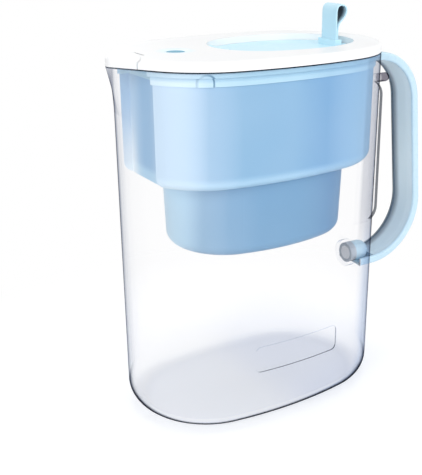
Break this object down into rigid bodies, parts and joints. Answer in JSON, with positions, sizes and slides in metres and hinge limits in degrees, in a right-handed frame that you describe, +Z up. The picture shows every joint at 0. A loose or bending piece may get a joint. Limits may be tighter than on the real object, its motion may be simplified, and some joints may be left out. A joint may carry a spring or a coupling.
{
  "type": "water filter pitcher",
  "caption": "Clear oval jug with a wide strap handle, lift-out blue hopper, filter cartridge, and a white lid with a hinged refill flap, pull loop, spout cover and indicator button.",
  "frame": {"origin": "on the table under the middle of the jug body, handle and lip left out", "axes": "+Z up, +X from the pouring lip towards the handle, +Y to the side away from the raised plate"},
  "size_m": [0.2594, 0.126, 0.2775],
  "materials": {
    "clear": "clear moulded plastic",
    "handle_pale": "pale blue satin plastic",
    "handle_grey": "grey-blue soft-touch plastic",
    "hopper_blue": "translucent blue plastic",
    "white": "glossy white plastic",
    "filter_white": "satin white plastic",
    "seal": "soft silicone",
    "felt": "white felt",
    "media": "granular bed of carbon and resin",
    "steel": "bright steel",
    "board": "circuit board",
    "black": "black plastic",
    "lamp": "clear lamp",
    "flap_blue": "very pale blue plastic",
    "strap": "pale blue silicone",
    "lens_blue": "blue translucent lens"
  },
  "bodies": {
    "jug": {"pitcher_body": "clear", "handle_shell": "handle_pale", "handle_liner": "handle_grey"},
    "hopper": {"hopper": "hopper_blue"},
    "filter": {"filter_casing": "filter_white", "filter_cap": "filter_white", "filter_seal": "seal", "filter_media": "media", "filter_top_pad": "felt", "filter_bottom_pad": "felt"},
    "lid": {"lid_shell": "white", "lid_base": "white", "flap_pin": "steel", "spout_pin": "steel", "circuit_board": "board", "indicator_lamp": "lamp", "switch_housing": "black", "coin_cell": "steel", "battery_contacts": "steel", "battery_door": "white", "battery_screws": "steel"},
    "flap": {"refill_flap": "flap_blue", "pull_strap": "strap"},
    "cover": {"spout_cover": "white"},
    "button": {"indicator_button": "lens_blue", "switch_plunger": "black"}
  },
  "joints": [
    {"name": "hopper_lift", "type": "slide", "parent": "jug", "child": "hopper", "axis": [0, 0, 1], "range_m": [0, 0.16]},
    {"name": "filter_lift", "type": "slide", "parent": "hopper", "child": "filter", "axis": [0, 0, 1], "range_m": [0, 0.14]},
    {"name": "lid_lift", "type": "slide", "parent": "filter", "child": "lid", "axis": [0, 0, 1], "range_m": [0, 0.08]},
    {"name": "flap_hinge", "type": "hinge", "parent": "lid", "child": "flap", "pos_m": [-0.0245, 0, 0.25175], "axis": [0, -1, 0], "range_deg": [0, 95]},
    {"name": "spout_cover_hinge", "type": "hinge", "parent": "lid", "child": "cover", "pos_m": [-0.0844, 0, 0.2514], "axis": [0, 1, 0], "range_deg": [0, 50]},
    {"name": "button_press", "type": "slide", "parent": "lid", "child": "button", "axis": [0, 0, -1], "range_m": [0, 0.0008], "stiffness_N_per_m": 800}
  ]
}
